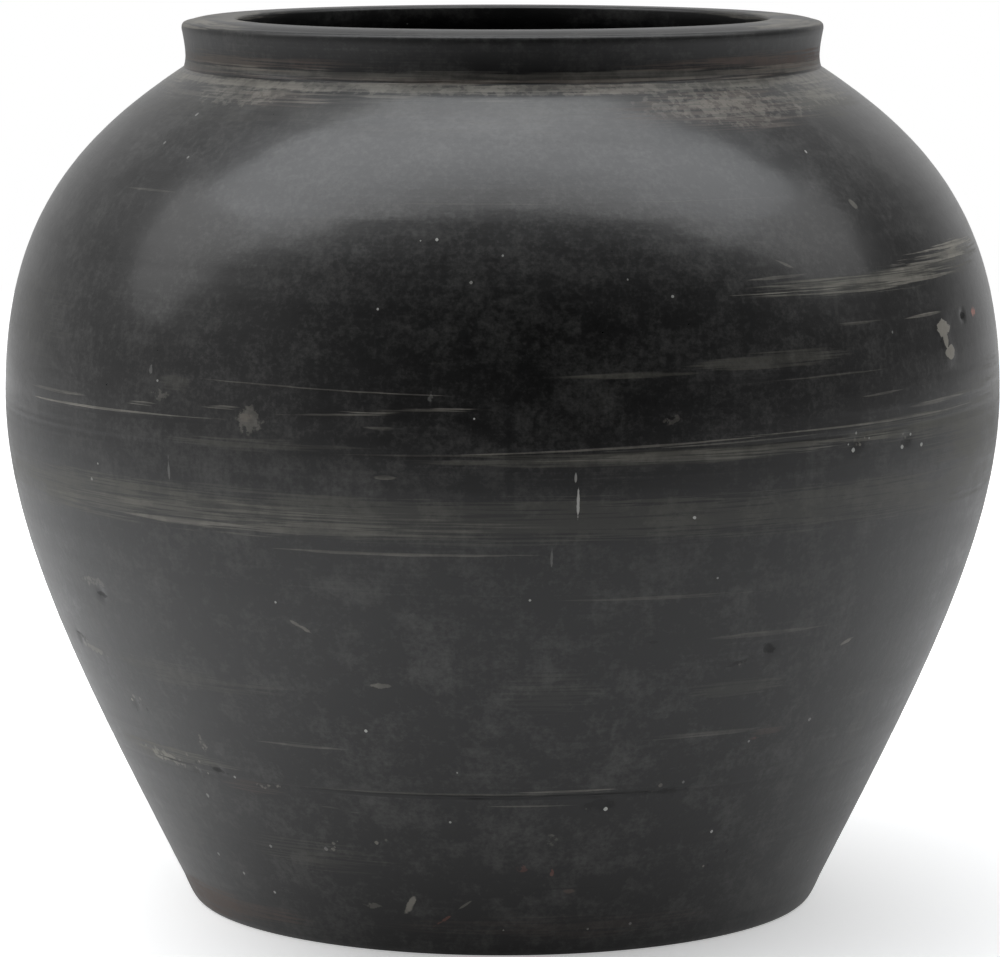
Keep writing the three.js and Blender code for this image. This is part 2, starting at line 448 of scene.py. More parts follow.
def make_place_group():
    """Where a point lies on the jar: degrees round from the front, and height in millimetres."""
    tree, _, end = group("place_on_jar", (), ("Angle", "Height"))
    where = add(tree, "ShaderNodeTexCoord").outputs["Object"]
    split = add(tree, "ShaderNodeSeparateXYZ", {0: where})
    radians = calc(tree, "ARCTAN2", split.outputs[0], calc(tree, "MULTIPLY", split.outputs[1], -1.0))
    tree.links.new(calc(tree, "MULTIPLY", radians, 180 / math.pi), end.inputs["Angle"])
    tree.links.new(calc(tree, "MULTIPLY", split.outputs[2], 1000.0), end.inputs["Height"])


def make_fibre_group():
    """Noise drawn out along the wheel's turning or up the wall: the scales are waves for each metre."""
    inputs = (("Round", 20.0), ("Up", 400.0), ("Detail", 3.0), ("Roughness", 0.5), ("Seed", 0.0))
    tree, start, end = group("drawn_noise", inputs, ("Value",))
    where = add(tree, "ShaderNodeTexCoord").outputs["Object"]
    get = start.outputs
    scale = add(tree, "ShaderNodeCombineXYZ", {0: get["Round"], 1: get["Round"], 2: get["Up"]})
    stretched = add(tree, "ShaderNodeVectorMath", {0: where, 1: scale.outputs[0]}, operation="MULTIPLY")
    moved = add(tree, "ShaderNodeVectorMath", {0: stretched.outputs[0], 1: get["Seed"]}, operation="ADD")
    noise = add(tree, "ShaderNodeTexNoise", {
        "Vector": moved.outputs[0], "Scale": 1.0, "Detail": get["Detail"], "Roughness": get["Roughness"],
    })
    tree.links.new(noise.outputs[0], end.inputs["Value"])


def make_mark_group():
    """A mark on the wall: one minus the squares of the way along it and across it, eaten into by a noise.
    It narrows towards its ends, and Taper makes its right end the fatter one."""
    inputs = (
        ("Angle", 0.0), ("Height", 0.0), ("Noise", 0.5), ("Middle", 0.0), ("Half length", 10.0),
        ("Level", 100.0), ("Half width", 1.0), ("Rise", 0.0), ("Taper", 0.0), ("Fray", 0.0), ("Edge", 0.4),
        ("Strength", 1.0),
    )
    tree, start, end = group("mark", inputs, ("Mask",))
    get = start.outputs
    away = calc(tree, "WRAP", calc(tree, "SUBTRACT", get["Angle"], get["Middle"]), 180.0, -180.0)
    along = calc(tree, "DIVIDE", away, get["Half length"])
    square = calc(tree, "MULTIPLY", along, along)
    level = calc(tree, "MULTIPLY_ADD", along, calc(tree, "MULTIPLY", get["Rise"], 0.5), get["Level"])
    narrow = calc(tree, "MULTIPLY_ADD", square, -0.45, 1.0)
    fat = calc(tree, "MULTIPLY_ADD", along, get["Taper"], 1.0)
    width = calc(tree, "MULTIPLY", calc(tree, "MULTIPLY", get["Half width"], narrow), fat)
    across = calc(tree, "DIVIDE", calc(tree, "SUBTRACT", get["Height"], level), width)
    body = calc(tree, "SUBTRACT", calc(tree, "SUBTRACT", 1.0, square), calc(tree, "MULTIPLY", across, across))
    bare = calc(tree, "MULTIPLY", get["Noise"], get["Fray"])
    mask = ramp(tree, body, bare, calc(tree, "ADD", bare, get["Edge"]))
    tree.links.new(calc(tree, "MULTIPLY", mask, get["Strength"]), end.inputs["Mask"])


def make_speck_group():
    """Small scattered specks: the centres of a share of Voronoi cells."""
    inputs = (("Scale", 60.0), ("Share", 0.1), ("Radius", 0.1))
    tree, start, end = group("specks", inputs, ("Mask",))
    where = add(tree, "ShaderNodeTexCoord").outputs["Object"]
    cells = add(tree, "ShaderNodeTexVoronoi", {"Vector": where, "Scale": start.outputs["Scale"]})
    pick = add(tree, "ShaderNodeSeparateColor", {0: cells.outputs["Color"]})
    chosen = calc(tree, "LESS_THAN", pick.outputs[0], start.outputs["Share"])
    size = calc(tree, "MULTIPLY", start.outputs["Radius"], calc(tree, "ADD", pick.outputs[1], 0.35))
    near = calc(tree, "LESS_THAN", cells.outputs["Distance"], size)
    tree.links.new(calc(tree, "MULTIPLY", chosen, near), end.inputs["Mask"])


# Wiped, smeared and scratched marks by layer. The dark and crumb layers are painted shade, in the shadow
# colour, along cracks, creases and pits; one dark band is painted shade on the collar's front, and two dust
# marks are a painted highlight on the rim top. Each has its middle and half length in degrees, its level,
# half width and rise in millimetres, its taper, its fray and its strength. The front is at 0 degrees.
STREAKS = {
    "brown": (
        (0, 500, 336.2, 1.6, 0, 0, 0.9, 0.5), (62, 48, 341, 5.5, 0, 0, 0.8, 1.0),
        (-55, 44, 341, 4.5, 0, 0, 0.9, 0.8), (-64, 34, 8, 9, 5, 0, 0.6, 0.75),
        (10, 40, 12, 7, 0, 0, 0.9, 0.22), (-38, 6, 66, 3.5, 0, 0, 0.9, 0.5),
        (-28.4, 1.1, 214.8, 3.2, 0, 0, 0.8, 0.5), (37, 26, 325, 10, -2, 0, 0.8, 0.6),
        (-38, 14, 329, 5, 0, 0, 0.9, 0.4), (18, 18, 333, 3, 0, 0, 0.8, 0.5),
        (10.5, 1.2, 28, 1.6, 0, 0, 0.5, 0.6), (37, 3.5, 90, 2.5, 0, 0, 0.8, 0.35),
        (-35, 4, 66, 2.5, 0, 0, 0.8, 0.4),
    ),
    "worn": (
        (-30, 600, 179.5, 11, 0, 0, 0.8, 0.36), (-50, 45, 179.5, 11, 0, 0, 0.9, 0.55),
        (30, 12.5, 235.6, 4.2, 2.4, 0.2, 0.6, 0.34), (12.5, 11, 232.6, 1.5, 1, 0.5, 0.5, 0.45),
        (18, 32, 202.6, 4.2, 3.2, 0, 0.6, 0.45), (58, 30, 205, 7, 2.6, 0, 0.8, 0.5),
        (32, 36, 182, 9, 3, 0, 1.1, 0.32), (74, 24, 200, 30, 2, 0, 0.8, 0.45),
        (46, 24, 261.6, 5.6, 2.4, 0.2, 0.7, 0.7), (-52, 16, 74, 6, -3, 0, 0.9, 0.8),
        (-28, 16, 205.5, 2.6, 1, 0, 0.8, 0.3), (66, 18, 266, 8, 3, 0.3, 0.8, 0.7),
        (-28, 12, 205, 3, 0, 0, 0.7, 0.2), (-38, 3, 226, 4, 0, 0, 0.5, 0.2),
        (-68, 14, 240, 26, 0, 0, 1.0, 0.14), (30, 9, 110, 5, 0, 0, 0.7, 0.25),
        (-45, 22, 110, 6, -3, 0, 0.9, 0.2), (-62, 12, 72, 5, -3, 0, 0.9, 0.3),
        (-30, 16, 40, 9, -4, 0, 1.0, 0.22), (6, 8, 112, 12, 0, 0, 1.0, 0.16),
        (0, 500, 326, 10, 0, 0, 0.9, 0.12), (62, 18, 326, 9, 0, 0, 0.7, 0.4),
        (-62, 30, 341, 5, 0, 0, 1.0, 0.3),
    ),
    "dust": (
        (-59.5, 10, 216.6, 0.9, 0.4, 0, 1.0, 0.5), (-43.2, 3.6, 216.8, 1.1, 0, 0.3, 1.0, 0.5),
        (-50, 21, 213, 0.6, 2, 0, 0.6, 0.75), (-31.8, 3.4, 218, 1.2, 0.4, 0.2, 1.0, 0.45),
        (-20, 17, 227, 0.5, -3, 0, 0.7, 0.4), (-10, 9.5, 219.9, 1.2, 2.2, 0, 1.1, 0.5),
        (-18, 9, 217.8, 0.5, 2, 0, 0.7, 0.3), (-11, 12, 203.6, 0.5, 1, 0.4, 0.6, 0.3),
        (-38, 11, 174, 1.5, 0.3, 0.3, 0.5, 0.5), (-30, 38, 177, 8, 0, 0, 1.2, 0.22),
        (-12.5, 1.5, 195.2, 1.1, 0, 0, 0.3, 0.4), (-13, 2.3, 213.3, 1.0, -0.4, 0, 0.6, 0.2),
        (-12, 18, 166.3, 0.9, 0.4, 0, 0.6, 0.4), (12, 21, 206.1, 0.55, 5, 0, 0.3, 0.5),
        (46, 24, 209.2, 0.5, 1.6, 0, 0.3, 0.5), (28, 14, 206.6, 0.4, 2, 0, 0.5, 0.35),
        (30, 30, 203, 2.8, 3, 0, 1.3, 0.25), (46, 24, 261.2, 4.6, 1.9, 0.25, 1.1, 0.5),
        (64, 18, 267.6, 5.0, 4.5, 0, 1.1, 0.8), (33, 5, 265.6, 0.8, 1, 0, 0.6, 0.35),
        (55.3, 4.8, 246.6, 0.7, 0.5, 0.2, 0.3, 0.75), (40, 13, 228.6, 0.5, 0.8, 0, 0.8, 0.35),
        (46, 4.5, 219.8, 0.6, 1, 0, 0.6, 0.3), (56, 8, 213.6, 1.0, 1, 0, 0.7, 0.35),
        (43, 5.5, 247, 0.9, 0, 0, 0.8, 0.22), (19, 16, 148.6, 0.8, -0.4, 0, 0.8, 0.3),
        (-28, 9, 87, 1.1, 0, 0, 0.8, 0.25), (26, 11, 91.5, 1.4, 0, 0, 0.8, 0.2),
        (33, 10, 131, 1.5, 0, 0, 0.8, 0.22), (-50.5, 6, 294.4, 0.5, 0, 0, 0.3, 0.35),
        (0, 42, 294, 0.45, 0, 0, 1.1, 0.14), (-6, 24, 69.8, 0.5, 0.8, 0, 0.5, 0.2),
        (9, 8, 71, 0.6, 0.5, 0, 0.4, 0.4), (4, 8, 65, 0.45, 0, 0, 0.4, 0.25),
        (-24, 5, 61, 0.8, -3, 0, 0.9, 0.25), (40, 19, 325.5, 8.5, -3, 0, 1.2, 0.18),
        (17, 14, 333, 1.8, 0, 0, 1.0, 0.3), (0, 600, 333.6, 2.4, 0, 0, 0.8, 0.5),
        (-60, 80, 331, 5, 0, 0, 1.2, 0.3), (0, 600, 337.8, 2.6, 0, 0, 0.8, 0.4),
        # Painted highlight: these two lighten the top of the rim at the left and right sides with the dust
        # colour.
        (-88, 50, 354, 3, 0, 0, 0.9, 0.5), (88, 50, 354, 3, 0, 0, 0.9, 0.6),
        (-40, 9, 329, 3.5, 0, 0, 1.3, 0.25), (65, 16, 330, 6, 0, 0, 1.2, 0.25),
    ),
    # Painted shade: the dark layer lays the shadow colour along cracks, creases and scratches.
    "dark": (
        (-46, 18, 211.5, 0.9, 1.5, 0, 0.4, 0.6), (24, 23, 205.5, 0.6, 3.8, 0, 0.5, 0.6),
        (13, 11, 199.4, 0.6, 0.5, 0, 0.6, 0.5), (-10, 12, 168.6, 0.9, 0.3, 0, 0.5, 0.55),
        (20, 8, 169.4, 0.6, 0, 0, 0.6, 0.45), (-38, 14, 176.2, 0.5, 0, 0, 0.6, 0.35),
        (-5.2, 1.1, 158, 0.6, -0.9, 0, 0.2, 0.9), (-10, 24, 68.4, 1.0, 0.3, 0.2, 0.3, 1.0),
        (9, 11, 68.6, 1.4, 0.8, 0.2, 0.3, 0.85), (9, 10, 29.2, 0.5, -0.3, 0, 0.4, 0.6),
        (-9.6, 0.5, 196, 12, 0, 0, 0.3, 0.25), (22, 5, 87, 0.9, 0, 0, 0.7, 0.3),
        (35, 22, 211.5, 1.6, 2, 0, 0.8, 0.35), (24, 34, 195, 3.4, 3, 0, 0.8, 0.5),
        (-49, 13, 71, 0.9, -2, 0, 0.9, 1.0), (-57, 8, 82, 1.0, 0, 0, 1.0, 0.8),
        (30, 18, 229.5, 1.8, 3, 0, 0.9, 0.4), (-60, 12, 222, 3, 0, 0, 1.1, 0.35),
        # Painted shade: this band darkens the front of the collar's outer face, where it faces the dark side
        # of the room.
        (0, 52, 344.5, 4.5, 0, 0, 1.0, 0.4),
    ),
    # Painted shade: the crumb layer lays the shadow colour in small pits, which the bump also dents.
    "crumb": (
        (33.3, 1.2, 125, 3.4, -2, 0, 0.6, 0.85), (29, 2.4, 120, 1.2, 3.4, 0, 1.0, 0.7),
        (17.6, 0.8, 131, 0.8, 0, 0, 0.4, 0.7), (-55.5, 1.5, 138, 1.5, -0.6, 0, 0.6, 0.85),
        (-67, 2.3, 116, 1.3, -2, 0, 0.7, 0.6), (-43, 2, 71, 1.2, -1.5, 0, 0.7, 0.8),
        (14, 4.5, 64.8, 3.2, 0, 0, 1.1, 0.7), (23, 6.5, 69, 1.5, 0.5, 0, 1.1, 0.75),
        (65, 0.9, 243.5, 1.6, 0, 0, 0.2, 1.0),
    ),
    "pale": (
        (-15.2, 1.6, 21, 2.8, 9, 0.2, 0.4, 0.6), (-6, 1.5, 22.4, 0.8, 5, 0, 0.3, 0.45),
        (-22, 2.2, 20, 1.6, 0, 0, 0.8, 0.35), (-23.8, 1.8, 136, 1.1, -6, 0, 0.6, 0.4),
        (46, 1.4, 123, 1.2, 3, 0, 0.4, 0.5), (-56.5, 3.2, 142.5, 3.4, 0, 0, 1.0, 0.3),
        (-44.3, 1.1, 82, 4.2, 0, 0, 0.8, 0.4), (-15, 1.8, 114, 1.5, 0, 0, 0.6, 0.4),
        (-64, 6, 112, 1.6, -3, 0, 1.1, 0.35), (-55, 8, 72, 3.4, -4, 0, 1.1, 0.5),
        (-34.5, 3, 67.5, 2, 1, 0, 1.1, 0.45), (38, 22, 326, 8.5, -3, 0, 1.1, 0.3),
        (0, 600, 333.2, 2.4, 0, 0, 1.0, 0.3), (-48, 16, 329, 5, 0, 0, 1.1, 0.25),
        (64, 16, 329, 6, 0, 0, 1.1, 0.25), (18, 1.5, 216, 3, 0, 0, 1.3, 0.22),
        (-40, 1.6, 221, 3, 0, 0, 1.3, 0.2), (-28, 2.2, 214.3, 6.6, 0, 0, 0.7, 0.3),
        (33.9, 1.4, 270.2, 0.7, -4, 0, 0.3, 0.35), (48.4, 0.7, 289.5, 2.0, -2, 0, 0.3, 0.5),
        (7, 1.2, 50, 3.5, 0, 0, 1.0, 0.25),
    ),
    "splash": (
        (59, 1.9, 240.6, 4.0, 0.6, 0, 0.5, 0.8), (59.2, 0.7, 235.8, 3.6, 0, 0, 0.4, 0.8),
        (60, 1.3, 231.0, 3.6, 0, 0, 0.4, 0.8),
    ),
    "white": (
        (8, 0.19, 186, 7, 0, 0, 0.5, 0.65), (7.7, 0.15, 195.5, 3, 0, 0, 0.7, 0.4),
        (-38.8, 0.2, 193.5, 5.5, 0, 0, 0.6, 0.15), (-41.6, 0.35, 230, 3.2, -3, 0, 0.9, 0.12),
        (-7.6, 0.4, 225, 3.0, 3, 0, 0.9, 0.1), (5.3, 0.18, 165, 4.5, 0, 0, 0.5, 0.15),
    ),
    "red": (
        (68.8, 1.1, 244, 3.2, 0, 0, 0.9, 0.7), (-10, 2.2, 15, 1.0, 7, 0, 0.8, 0.2),
        (7.5, 0.4, 36, 2.6, 0, 0, 0.8, 0.2), (35, 1.1, 87.5, 1.0, 0, 0, 0.8, 0.14),
        (3, 1.2, 38.5, 2, 0, 0, 1.1, 0.12),
    ),
}
# White dots: degrees, level and radius in millimetres, and strength.
DOTS = (
    (-13.7, 256.5, 0.8, 0.8), (-3, 217.5, 0.7, 0.8), (-26.5, 145, 0.8, 0.7), (-50.5, 191.5, 0.9, 0.7),
    (-52, 185, 0.9, 0.5), (-40.5, 226, 0.9, 0.5), (-17.5, 95, 0.9, 0.9), (-7.4, 58, 0.9, 0.6),
    (-41, 20, 1.1, 0.6), (-7.6, 281.5, 1.0, 0.9), (-9.5, 281, 0.5, 0.6), (0, 276, 0.9, 0.5),
    (-3.5, 266.5, 0.9, 0.4), (14, 267, 0.7, 0.4), (19, 260.5, 1.0, 0.6), (3, 149, 0.8, 0.8),
    (24.5, 155, 0.8, 0.6), (21, 179, 1.1, 1.0), (14.5, 62.7, 1.3, 1.0), (32.5, 49, 1.0, 0.8),
    (45.5, 309, 0.9, 0.7), (-53, 321.5, 1.0, 0.4), (-54.5, 311, 0.8, 0.4), (53, 198, 1.3, 0.8),
    (49.3, 198.2, 1.4, 0.8), (50.8, 202.6, 1.0, 0.7), (41.2, 199.6, 1.4, 0.8), (40.4, 202, 0.7, 0.6),
    (41.6, 206, 0.8, 0.5), (43.6, 203.5, 0.7, 0.5), (48.5, 242, 0.8, 0.3), (-6, 79, 0.7, 0.5),
    (-47, 26, 1.0, 0.4), (-52, 32, 1.2, 0.3), (-38, 41, 1.1, 0.35), (-48, 58.5, 1.4, 0.35),
    (-40.3, 69.3, 1.0, 0.5), (25.3, 72, 0.9, 0.3), (44, 92, 1.2, 0.3), (22, 12, 0.9, 0.3),
    (14.5, 11, 0.8, 0.3), (-27.5, 43, 1.2, 0.25),
)
# Crumbled places: degrees, level and reach in millimetres, and how many crumbs.
CRUMBLED = (
    (42, 203, 5, 9), (50, 201.5, 4.5, 8), (22, 69, 7, 9), (-47, 71, 9, 10), (-57, 93, 6, 7), (12, 62.5, 4, 6),
    (29, 120, 4, 4), (-26, 44, 10, 9), (34, 37, 9, 5), (-18, 48, 4, 3), (-66, 115, 6, 5),
)
# How the edge of each layer goes: the noise that eats into it, and how soft it is. They are laid in this
# order.
LAYERS = {
    "brown": ("fibres", 0.6), "worn": ("fibres", 0.5), "dust": ("fibres", 0.4), "pale": ("crumbs", 0.5),
    "dark": ("fibres", 0.4), "crumb": ("crumbs", 0.3), "splash": ("crumbs", 0.12), "red": ("crumbs", 0.5),
    "white": ("crumbs", 0.35),
}
DOT_SIZE, DOT_STRENGTH = 0.8, 0.75  # shares of the sizes and strengths above that the dots are laid with
CRUMBS_SHARE = 0.6  # share of the crumbs that are dark, and of the far dots that are white
MM_PER_DEGREE = 2.2  # rough run of the lower wall under one degree
MARGIN = 6  # how far past a piece its marks are still counted, in millimetres
# Drawn-out noises: waves for each metre round and up, detail, roughness and seed.
NOISES = {
    "lines": (6.0, 900.0, 4.0, 0.6, 0.0), "sweeps": (5.0, 110.0, 3.0, 0.55, 3.7),
    "patches": (14.0, 26.0, 4.0, 0.6, 9.1), "mottle": (55.0, 70.0, 5.0, 0.68, 1.9),
    "grain": (420.0, 460.0, 3.0, 0.75, 6.4), "runs": (330.0, 12.0, 2.0, 0.5, 5.2),
    "fibres": (22.0, 1100.0, 3.0, 0.65, 7.7), "crumbs": (300.0, 330.0, 3.0, 0.6, 2.3),
}
# Where the polish begins above the waist and where it ends at the neck: levels in millimetres, and its
# amounts there.
POLISH_BEGINS, POLISH_ENDS = (197.0, 216.0, 0.15, 1.0), (335.0, 339.0, 0.0, -0.75)
COAT_ROUGHNESS, CLAY_IOR = 0.13, 1.5


def all_marks(wall):
    """Every mark on the jar with its layer: the streaks and dots, crumbs about the crumbled places, and
    more streaks and dots of the same kinds for the side that faces away."""
    draws = np.random.default_rng(5)

    def dot(middle, level, radius, strength):
        reach = math.degrees(radius * MM / wall.face(np.array([level * MM]))[0, 0])
        return middle, reach, level, radius, 0, 0, 0.5, strength

    marks = [(layer, streak) for layer, streaks in STREAKS.items() for streak in streaks]
    for middle, level, radius, strength in DOTS:
        marks.append(("white", dot(middle, level, DOT_SIZE * radius, DOT_STRENGTH * strength)))
    # The crumbs of the crumb layer are painted shade in small pits; the pale ones are pale clay.
    for middle, level, reach, count in CRUMBLED:
        for _ in range(count):
            aside, up = draws.normal(0, 1, 2) * (reach / 3, reach / 4)
            radius, strength = draws.uniform((0.4, 0.25), (1.2, 0.65))
            layer = "crumb" if draws.random() < CRUMBS_SHARE else "pale"
            marks.append((layer, dot(middle + aside / MM_PER_DEGREE, level + up, radius, strength)))
    least, most = (85, 5, 0.4, -3, 0.4, 0.25), (275, 30, 3.0, 3, 1.2, 0.6)
    for level in draws.uniform(20, 300, 30):
        middle, half, width, rise, fray, strength = draws.uniform(least, most)
        layer = draws.choice(("dust", "dust", "worn", "dark"))
        marks.append((str(layer), (middle, half, level, width, rise, 0, fray, strength)))
    for level in draws.uniform(20, 320, 24):
        middle, radius = draws.uniform((85, 0.6), (275, 1.4))
        layer = "white" if draws.random() < CRUMBS_SHARE else "crumb"
        marks.append((layer, dot(middle, level, radius, 0.7)))
    return marks


def clay_material(name, shape, finish, low, high):
    """Smoke-blackened clay between two levels in millimetres: a dark skin that comes and goes, the marks
    laid over it layer by layer, and a polish on the shoulder."""
    material = bpy.data.materials.new(name)
    material.use_nodes = True
    tree = material.node_tree
    shader = tree.nodes["Principled BSDF"]
    place = use(tree, "place_on_jar")
    angle, height = place.outputs["Angle"], place.outputs["Height"]

    def drawn(name):
        values = zip(("Round", "Up", "Detail", "Roughness", "Seed"), NOISES[name])
        return use(tree, "drawn_noise", dict(values)).outputs[0]

    def swing(noise, amount, on):
        """Adds a noise, taken about its middle, to a value."""
        return calc(tree, "MULTIPLY_ADD", calc(tree, "SUBTRACT", noise, 0.5), amount, on)

    lines, sweeps, patches = drawn("lines"), drawn("sweeps"), drawn("patches")
    mottle, grain, runs = drawn("mottle"), drawn("grain"), drawn("runs")
    eating = {name: ramp(tree, drawn(name), 0.35, 0.65) for name in ("fibres", "crumbs")}

    masks = dict.fromkeys(LAYERS, 0.0)
    for layer, (middle, half, level, width, rise, taper, fray, strength) in all_marks(Wall(shape)):
        if not low - width - MARGIN < level < high + width + MARGIN:
            continue
        noise, edge = LAYERS[layer]
        mask = use(tree, "mark", {
            "Angle": angle, "Height": height, "Noise": eating[noise], "Middle": middle, "Half length": half,
            "Level": level, "Half width": width, "Rise": rise, "Taper": taper, "Fray": fray, "Edge": edge,
            "Strength": strength,
        })
        masks[layer] = calc(tree, "MAXIMUM", mask.outputs[0], masks[layer])
    drawn_out = ramp(tree, lines, 0.36, 0.64, 0.45, 1.0)
    broken = ramp(tree, mottle, 0.40, 0.60, 0.65, 1.1)
    masks["dust"] = calc(tree, "MULTIPLY", masks["dust"], drawn_out)
    for layer in ("dust", "worn", "brown", "pale"):
        masks[layer] = calc(tree, "MULTIPLY", masks[layer], broken)
    flecks = use(tree, "specks", {"Scale": 75.0, "Share": 0.06, "Radius": 0.05}).outputs[0]
    masks["white"] = calc(tree, "MAXIMUM", masks["white"], calc(tree, "MULTIPLY", flecks, 0.3))

    polished = calc(tree, "ADD", ramp(tree, height, *POLISH_BEGINS), ramp(tree, height, *POLISH_ENDS))

    # The dark skin, thin in places.
    mottling = calc(tree, "MULTIPLY_ADD", polished, -0.55 * finish.mottle, finish.mottle)
    veil = swing(mottle, mottling, finish.veil)
    for noise, amount in ((grain, 1.0), (patches, 0.40), (runs, 0.30)):
        veil = swing(noise, amount, veil)
    thin = calc(tree, "MULTIPLY", ramp(tree, lines, 0.46, 0.74), ramp(tree, sweeps, 0.40, 0.70))
    thin = calc(tree, "MULTIPLY", thin, calc(tree, "MULTIPLY_ADD", polished, -0.15, 0.20))
    veil = calc(tree, "MAXIMUM", calc(tree, "ADD", thin, veil), 0.0)
    base = blend(tree, veil, finish.clay, finish.worn)
    colours = {
        "brown": finish.brown, "worn": finish.wiped, "dust": finish.dust, "pale": finish.dust,
        "dark": finish.shadow, "crumb": finish.shadow, "splash": finish.dust, "red": finish.red,
        "white": finish.white,
    }
    for layer in LAYERS:
        base = blend(tree, masks[layer], base, colours[layer])
    tree.links.new(base, shader.inputs["Base Color"])

    rubbed = masks["worn"]
    for layer in ("dust", "pale", "splash", "brown", "crumb"):
        rubbed = calc(tree, "MAXIMUM", rubbed, masks[layer])
    roughness = calc(tree, "MULTIPLY_ADD", polished, finish.burnished - finish.matte, finish.matte)
    for noise, amount in ((sweeps, 0.10), (mottle, 0.24), (grain, 0.16)):
        roughness = swing(noise, amount, roughness)
    tree.links.new(calc(tree, "MULTIPLY_ADD", rubbed, 0.2, roughness), shader.inputs["Roughness"])

    # The polish is lost where the clay is rubbed, and comes and goes with the brushing.
    kept = calc(tree, "SUBTRACT", 1.0, rubbed)
    kept = calc(tree, "MULTIPLY", kept, calc(tree, "MULTIPLY", polished, finish.polish))
    kept = calc(tree, "MULTIPLY", kept, ramp(tree, sweeps, 0.25, 0.6, 0.6, 1.0))
    kept = calc(tree, "MULTIPLY", kept, ramp(tree, mottle, 0.3, 0.7, 0.65, 1.05))
    kept = calc(tree, "MULTIPLY", kept, ramp(tree, grain, 0.3, 0.7, 0.72, 1.05))
    tree.links.new(kept, shader.inputs["Coat Weight"])
    shader.inputs["Coat Roughness"].default_value = COAT_ROUGHNESS
    shader.inputs["IOR"].default_value = CLAY_IOR

    fine = calc(tree, "MULTIPLY_ADD", lines, 0.6, calc(tree, "MULTIPLY", mottle, 4.0))
    for value, amount in ((grain, 0.9), (runs, 0.2), (masks["dust"], 0.3), (masks["crumb"], -0.8)):
        fine = calc(tree, "MULTIPLY_ADD", value, amount, fine)
    bump = add(tree, "ShaderNodeBump", {"Height": fine, "Strength": 0.4, "Distance": 0.10 * MM})
    tree.links.new(bump.outputs[0], shader.inputs["Normal"])
    return material


# --------------------------------------------------------------------------------------------- operators


def make_ring(context, name, node, clay, span, runs):
    """One ring of the wall. The runs are stretches of its outline, each with the face that it lies on, and
    the outside comes first. The span holds the heights that its marks lie between."""
    shape, finish = context.scene.jar_shape, context.scene.jar_finish
    outline = np.vstack([run for run, _ in runs])
    face = np.repeat([side for _, side in runs], [len(run) for run, _ in runs])
    outside = runs[0][0]
    out = directions(outline)
    out[: len(outside)] = directions(outside, closed=False)
    piece = turned(name, outline, out, face, shape)
    material = clay_material(clay, shape, finish, span[0] / MM, span[1] / MM)
    finish_piece(piece, node, material)


class JAR_OT_materials(bpy.types.Operator):
    """Makes the node groups that the clay finishes share"""

    bl_idname = "jar.materials"
    bl_label = "Clay Effects"

    def execute(self, context):
        make_place_group()
        make_fibre_group()
        make_mark_group()
        make_speck_group()
        return {"FINISHED"}


class JAR_OT_floor_slab(bpy.types.Operator):
    """Adds the slab of clay that the jar stands on"""

    bl_idname = "jar.floor_slab"
    bl_label = "Floor Slab"

    def execute(self, context):
        shape, finish = context.scene.jar_shape, context.scene.jar_finish
        wall = Wall(shape)
        foot, round_ = wall.foot, shape.foot_round
        under = np.stack([np.linspace(HUB, foot - round_, 14)[:-1], np.zeros(13)], axis=1)
        edge = curve((foot - round_, 0), (foot - shape.foot_lean * round_, 0), (foot, round_), 9)
        side = wall.face(rows(round_, SLAB_TOP, 16, (SLAB_TOP,)))[1:]
        top = np.stack([np.linspace(side[-1, 0], HUB, 40)[1:], np.full(39, SLAB_TOP)], axis=1)
        outline = np.vstack([under, edge, side, top])
        outside = np.vstack([edge, side])
        face = np.repeat([0, 1, 0], [len(under) + 3, len(outside) - 3, len(top)])
        out = directions(outline, closed=False)
        out[len(under) : -len(top)] = directions(outside, closed=False)
        piece = turned("floor_slab_clay", outline, out, face, shape, closed=False)
        material = clay_material("smoked clay of the foot", shape, finish, 0, SLAB_TOP / MM)
        finish_piece(piece, "floor_slab", material)
        return {"FINISHED"}


class JAR_OT_foot_ring(bpy.types.Operator):
    """Adds the first ring of wall, with the fillet inside the foot"""

    bl_idname = "jar.foot_ring"
    bl_label = "Foot Ring"

    def execute(self, context):
        shape = context.scene.jar_shape
        wall = Wall(shape)
        outside = wall.face(rows(SLAB_TOP, FOOT_SEAM, 58, (SLAB_TOP, FOOT_SEAM)))
        inner_top = wall.face(np.array([FOOT_SEAM]), shape.wall)[0]
        edge = ridge(outside[-1], inner_top, shape)
        fillet_top = wall.face(np.array([SLAB_TOP + shape.fillet]), shape.wall)[0]
        inside = wall.face(np.linspace(FOOT_SEAM, SLAB_TOP + shape.fillet, 14), shape.wall)[:-1]
        pull = (fillet_top[0] - shape.foot_lean * shape.fillet, SLAB_TOP + SLIP)
        fillet = curve(fillet_top, pull, (shape.floor_radius, SLAB_TOP + SLIP), 14)
        runs = ((outside, 1), (edge, 0), (inside, -1), (fillet, 0))
        clay, span = "smoked clay of the first ring", (SLAB_TOP, FOOT_SEAM)
        make_ring(context, "foot_ring_clay", "foot_wall", clay, span, runs)
        return {"FINISHED"}


class JAR_OT_belly_ring(bpy.types.Operator):
    """Adds the second ring of wall, up to the widest part"""

    bl_idname = "jar.belly_ring"
    bl_label = "Belly Ring"

    def execute(self, context):
        shape = context.scene.jar_shape
        wall = Wall(shape)
        outside = wall.face(rows(FOOT_SEAM, BELLY_HEIGHT, 100, (FOOT_SEAM, BELLY_HEIGHT)))
        inside = wall.face(np.linspace(BELLY_HEIGHT, FOOT_SEAM, 24), shape.wall)
        top, under = ridge(outside[-1], inside[0], shape), groove(outside[0], inside[-1], shape)
        runs = ((outside, 1), (top, 0), (inside, -1), (under, 0))
        clay, span = "smoked clay of the belly", (FOOT_SEAM, BELLY_HEIGHT)
        make_ring(context, "belly_ring_clay", "belly_wall", clay, span, runs)
        return {"FINISHED"}


